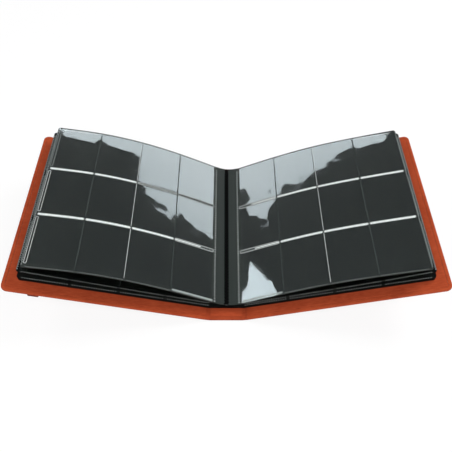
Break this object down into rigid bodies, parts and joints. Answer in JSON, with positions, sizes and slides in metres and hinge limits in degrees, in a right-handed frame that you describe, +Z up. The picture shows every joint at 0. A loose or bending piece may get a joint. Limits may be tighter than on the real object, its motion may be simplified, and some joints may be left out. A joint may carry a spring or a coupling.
{
  "type": "trading card album",
  "caption": "Soft-covered card album with side-loading pocket leaves, lying open on its spine with both covers raised and an elastic closing strap.",
  "frame": {"origin": "under the middle of the spine, on the surface that the album rests on", "axes": "+X across the open album towards the right cover, +Y from the tail edge to the head edge, +Z up"},
  "size_m": [0.6048, 0.301, 0.1096],
  "materials": {
    "cover_skin": "brushed orange-brown artificial leather, fine grain, satin",
    "cover_lining": "same artificial leather, smoother",
    "crease": "pressed hinge groove, slightly darker",
    "board": "grey bookbinding board",
    "leaf_sheet": "black polypropylene leaf with welded pockets",
    "pocket_film": "clear glossy pocket film over the dark sheet",
    "binding": "black knurled weld",
    "elastic": "woven elastic band, dyed to match the cover"
  },
  "bodies": {
    "spine": {"spine_skin": "cover_skin", "spine_board": "board", "spine_lining": "cover_lining", "binding_block": "binding", "binding_seam": "binding", "left_hinge_crease": "crease", "right_hinge_crease": "crease"},
    "left_cover": {"left_cover_skin": "cover_skin", "left_cover_board": "board", "left_cover_lining": "cover_lining", "left_leaf_03": "leaf_sheet", "left_leaf_04": "leaf_sheet", "left_leaf_05": "leaf_sheet", "left_leaf_06": "leaf_sheet", "left_leaf_07": "leaf_sheet", "left_leaf_08": "leaf_sheet", "left_leaf_09": "leaf_sheet", "left_leaf_10": "leaf_sheet", "strap_anchor_tail": "elastic", "strap_anchor_head": "elastic"},
    "left_second_leaf_inner": {"left_second_leaf_inner": "leaf_sheet"},
    "left_second_leaf_outer": {"left_second_leaf_outer": "leaf_sheet"},
    "left_top_leaf_margin": {"left_top_leaf_margin": "leaf_sheet"},
    "left_top_leaf_inner": {"left_top_leaf_inner_sheet": "leaf_sheet", "left_top_leaf_inner_film": "pocket_film"},
    "left_top_leaf_outer": {"left_top_leaf_outer_sheet": "leaf_sheet", "left_top_leaf_outer_film": "pocket_film"},
    "right_cover": {"right_cover_skin": "cover_skin", "right_cover_board": "board", "right_cover_lining": "cover_lining", "right_leaf_03": "leaf_sheet", "right_leaf_04": "leaf_sheet", "right_leaf_05": "leaf_sheet", "right_leaf_06": "leaf_sheet", "right_leaf_07": "leaf_sheet", "right_leaf_08": "leaf_sheet", "right_leaf_09": "leaf_sheet", "right_leaf_10": "leaf_sheet"},
    "right_second_leaf_inner": {"right_second_leaf_inner": "leaf_sheet"},
    "right_second_leaf_outer": {"right_second_leaf_outer": "leaf_sheet"},
    "right_top_leaf_margin": {"right_top_leaf_margin": "leaf_sheet"},
    "right_top_leaf_inner": {"right_top_leaf_inner_sheet": "leaf_sheet", "right_top_leaf_inner_film": "pocket_film"},
    "right_top_leaf_outer": {"right_top_leaf_outer_sheet": "leaf_sheet", "right_top_leaf_outer_film": "pocket_film"},
    "strap": {"elastic_strap": "elastic"}
  },
  "joints": [
    {"name": "left_cover_hinge", "type": "hinge", "parent": "spine", "child": "left_cover", "pos_m": [-0.0259, 0, 0], "axis": [0, -1, 0], "range_deg": [-73.9, 15.6], "deforming": ["left_hinge_crease", "left_leaf_03", "left_leaf_04", "left_leaf_05", "left_leaf_06", "left_leaf_07", "left_leaf_08", "left_leaf_09", "left_leaf_10"]},
    {"name": "left_top_leaf_margin_bend", "type": "hinge", "parent": "spine", "child": "left_top_leaf_margin", "pos_m": [0, 0, 0.013], "axis": [0, -1, 0], "range_deg": [-62.6, 13.6]},
    {"name": "left_top_leaf_turn", "type": "hinge", "parent": "left_top_leaf_margin", "child": "left_top_leaf_inner", "pos_m": [0, 0, 0.013], "axis": [0, 1, 0], "range_deg": [0, 130]},
    {"name": "left_top_leaf_fold", "type": "hinge", "parent": "left_top_leaf_inner", "child": "left_top_leaf_outer", "pos_m": [-0.13925, 0, 0.07629], "axis": [0, -1, 0], "range_deg": [-13.8, 3.3]},
    {"name": "left_second_leaf_root_bend", "type": "hinge", "parent": "spine", "child": "left_second_leaf_inner", "pos_m": [-0.0042, 0, 0.0111], "axis": [0, -1, 0], "range_deg": [-69.6, 15.1]},
    {"name": "left_second_leaf_fold", "type": "hinge", "parent": "left_second_leaf_inner", "child": "left_second_leaf_outer", "pos_m": [-0.15046, 0, 0.05656], "axis": [0, -1, 0], "range_deg": [-3.5, 1.1]},
    {"name": "right_cover_hinge", "type": "hinge", "parent": "spine", "child": "right_cover", "pos_m": [0.0259, 0, 0], "axis": [0, 1, 0], "range_deg": [-73.9, 15.6], "deforming": ["right_hinge_crease", "right_leaf_03", "right_leaf_04", "right_leaf_05", "right_leaf_06", "right_leaf_07", "right_leaf_08", "right_leaf_09", "right_leaf_10"]},
    {"name": "right_top_leaf_margin_bend", "type": "hinge", "parent": "spine", "child": "right_top_leaf_margin", "pos_m": [0, 0, 0.013], "axis": [0, 1, 0], "range_deg": [-67, 14.5]},
    {"name": "right_top_leaf_turn", "type": "hinge", "parent": "right_top_leaf_margin", "child": "right_top_leaf_inner", "pos_m": [0, 0, 0.013], "axis": [0, -1, 0], "range_deg": [0, 130]},
    {"name": "right_top_leaf_fold", "type": "hinge", "parent": "right_top_leaf_inner", "child": "right_top_leaf_outer", "pos_m": [0.14259, 0, 0.06677], "axis": [0, 1, 0], "range_deg": [-7.9, 2.1]},
    {"name": "right_second_leaf_root_bend", "type": "hinge", "parent": "spine", "child": "right_second_leaf_inner", "pos_m": [0.0042, 0, 0.0111], "axis": [0, 1, 0], "range_deg": [-71.1, 15.4]},
    {"name": "right_second_leaf_fold", "type": "hinge", "parent": "right_second_leaf_inner", "child": "right_second_leaf_outer", "pos_m": [0.15108, 0, 0.05356], "axis": [0, 1, 0], "range_deg": [-1.2, 0.7]},
    {"name": "strap_stretch", "type": "slide", "parent": "left_cover", "child": "strap", "axis": [-0.2773, 0, -0.9608], "range_m": [0, 0.012], "stiffness_N_per_m": 150}
  ],
  "couplings": [
    {"joint": "left_top_leaf_margin_bend", "follows": "left_cover_hinge", "ratio": 0.84},
    {"joint": "left_top_leaf_fold", "follows": "left_cover_hinge", "ratio": 0.18},
    {"joint": "left_second_leaf_root_bend", "follows": "left_cover_hinge", "ratio": 0.935},
    {"joint": "left_second_leaf_fold", "follows": "left_cover_hinge", "ratio": 0.04},
    {"joint": "right_top_leaf_margin_bend", "follows": "right_cover_hinge", "ratio": 0.9},
    {"joint": "right_top_leaf_fold", "follows": "right_cover_hinge", "ratio": 0.1},
    {"joint": "right_second_leaf_root_bend", "follows": "right_cover_hinge", "ratio": 0.955},
    {"joint": "right_second_leaf_fold", "follows": "right_cover_hinge", "ratio": 0.01}
  ]
}
